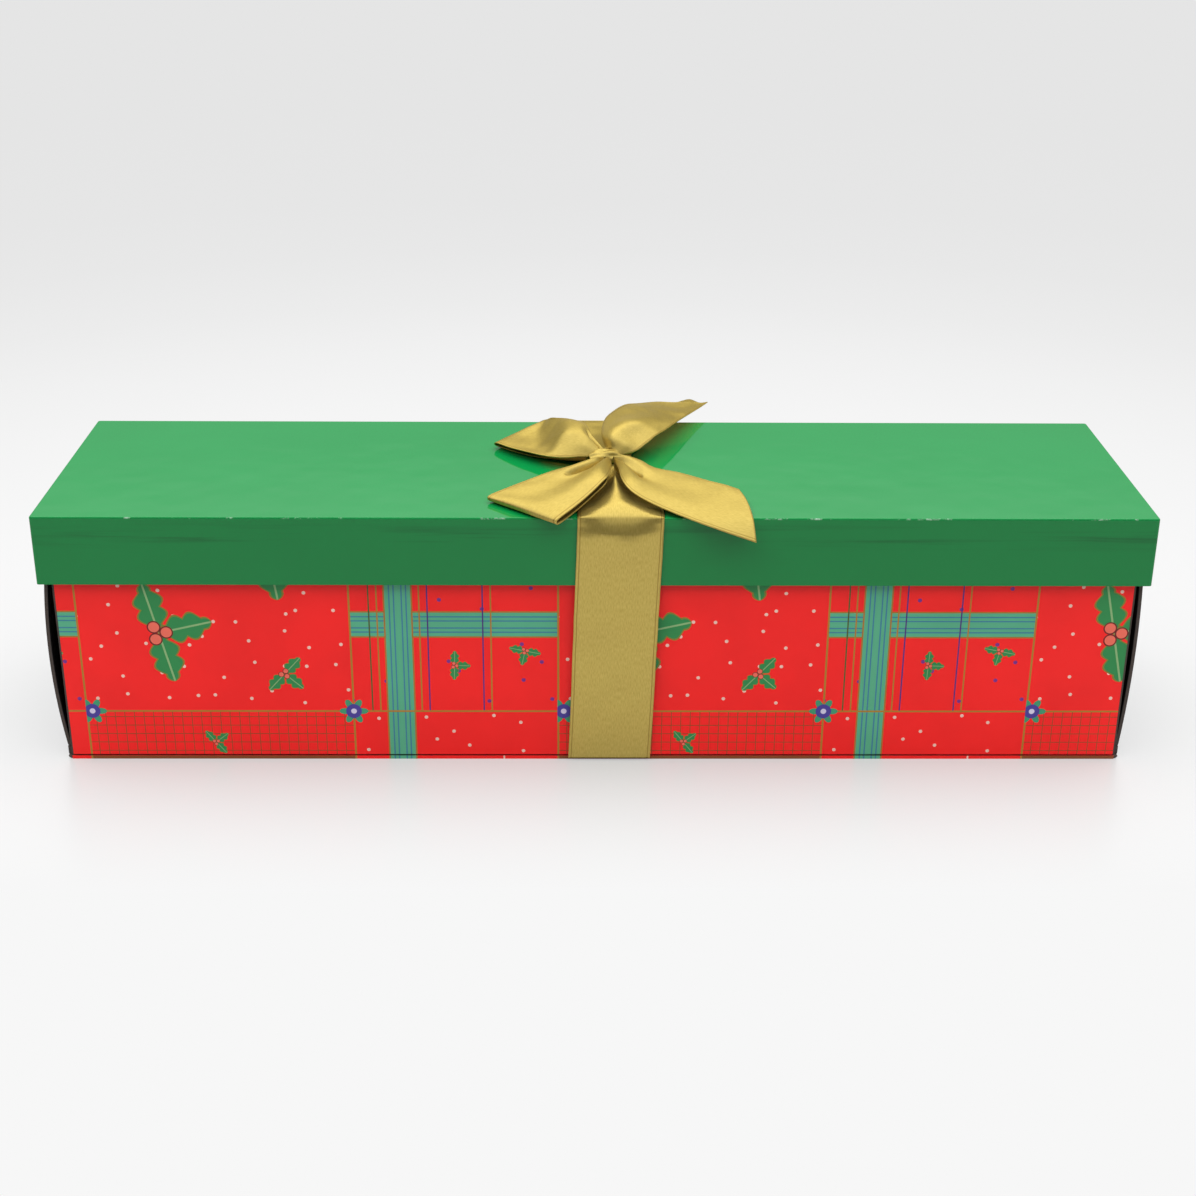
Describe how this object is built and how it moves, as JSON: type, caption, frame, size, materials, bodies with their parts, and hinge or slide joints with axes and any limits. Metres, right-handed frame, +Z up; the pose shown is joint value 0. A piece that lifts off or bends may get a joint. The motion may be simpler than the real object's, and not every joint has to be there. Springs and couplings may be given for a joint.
{
  "type": "folding gift box",
  "caption": "Long lidded gift box for a bottle; its base walls fold flat inward and a satin ribbon with a bow goes over the lid.",
  "frame": {"origin": "on the table under the middle of the box", "axes": "+X along the box's length to the right, -Y is the front with the ribbon drop, +Z up"},
  "size_m": [0.34, 0.112, 0.0906],
  "materials": {
    "black_faced_board": "greyboard with black faces, grey-brown at the cut edge",
    "lid_board": "raw greyboard",
    "printed_paper": "satin-laminated festive print on red",
    "black_paper": "matt black wrap paper",
    "green_gloss_paper": "high-gloss laminated green paper",
    "satin_ribbon": "pale gold satin with a bright selvedge"
  },
  "bodies": {
    "base": {"bottom_board": "black_faced_board", "bottom_cover": "printed_paper", "bottom_liner": "black_paper", "back_spine_board": "black_faced_board", "back_spine_cover": "printed_paper", "left_spine_board": "black_faced_board", "right_spine_board": "black_faced_board", "left_edge_cover": "black_paper", "right_edge_cover": "black_paper"},
    "front_wall": {"front_wall_board": "black_faced_board", "front_wall_cover": "printed_paper", "front_wall_liner": "black_paper"},
    "back_wall": {"back_wall_board": "black_faced_board", "back_wall_cover": "printed_paper", "back_wall_liner": "black_paper"},
    "left_end": {"left_end_board": "black_faced_board", "left_end_cover": "black_paper", "left_end_liner": "black_paper"},
    "right_end": {"right_end_board": "black_faced_board", "right_end_cover": "black_paper", "right_end_liner": "black_paper"},
    "lid": {"lid_top_board": "lid_board", "lid_front_skirt_board": "lid_board", "lid_back_skirt_board": "lid_board", "lid_left_skirt_board": "lid_board", "lid_right_skirt_board": "lid_board", "lid_cover": "green_gloss_paper", "lid_liner": "black_paper", "ribbon_front_drop": "satin_ribbon", "ribbon_top_front": "satin_ribbon", "ribbon_top_back": "satin_ribbon", "ribbon_back_drop": "satin_ribbon", "bow_knot": "satin_ribbon", "bow_loop_back_left": "satin_ribbon", "bow_loop_front_left": "satin_ribbon", "bow_tail_front_right": "satin_ribbon", "bow_tail_back_right": "satin_ribbon"}
  },
  "joints": [
    {"name": "lid_lift", "type": "slide", "parent": "base", "child": "lid", "axis": [0, 0, 1], "range_m": [0, 0.11]},
    {"name": "front_wall_fold", "type": "hinge", "parent": "base", "child": "front_wall", "pos_m": [0, -0.04245, 0.0019], "axis": [-1, 0, 0], "range_deg": [0, 90]},
    {"name": "back_wall_fold", "type": "hinge", "parent": "base", "child": "back_wall", "pos_m": [0, 0.04245, 0.00325], "axis": [1, 0, 0], "range_deg": [0, 90]},
    {"name": "left_end_fold", "type": "hinge", "parent": "base", "child": "left_end", "pos_m": [-0.1669, 0, 0.0046], "axis": [0, 1, 0], "range_deg": [0, 90]},
    {"name": "right_end_fold", "type": "hinge", "parent": "base", "child": "right_end", "pos_m": [0.1669, 0, 0.0046], "axis": [0, -1, 0], "range_deg": [0, 90]}
  ]
}
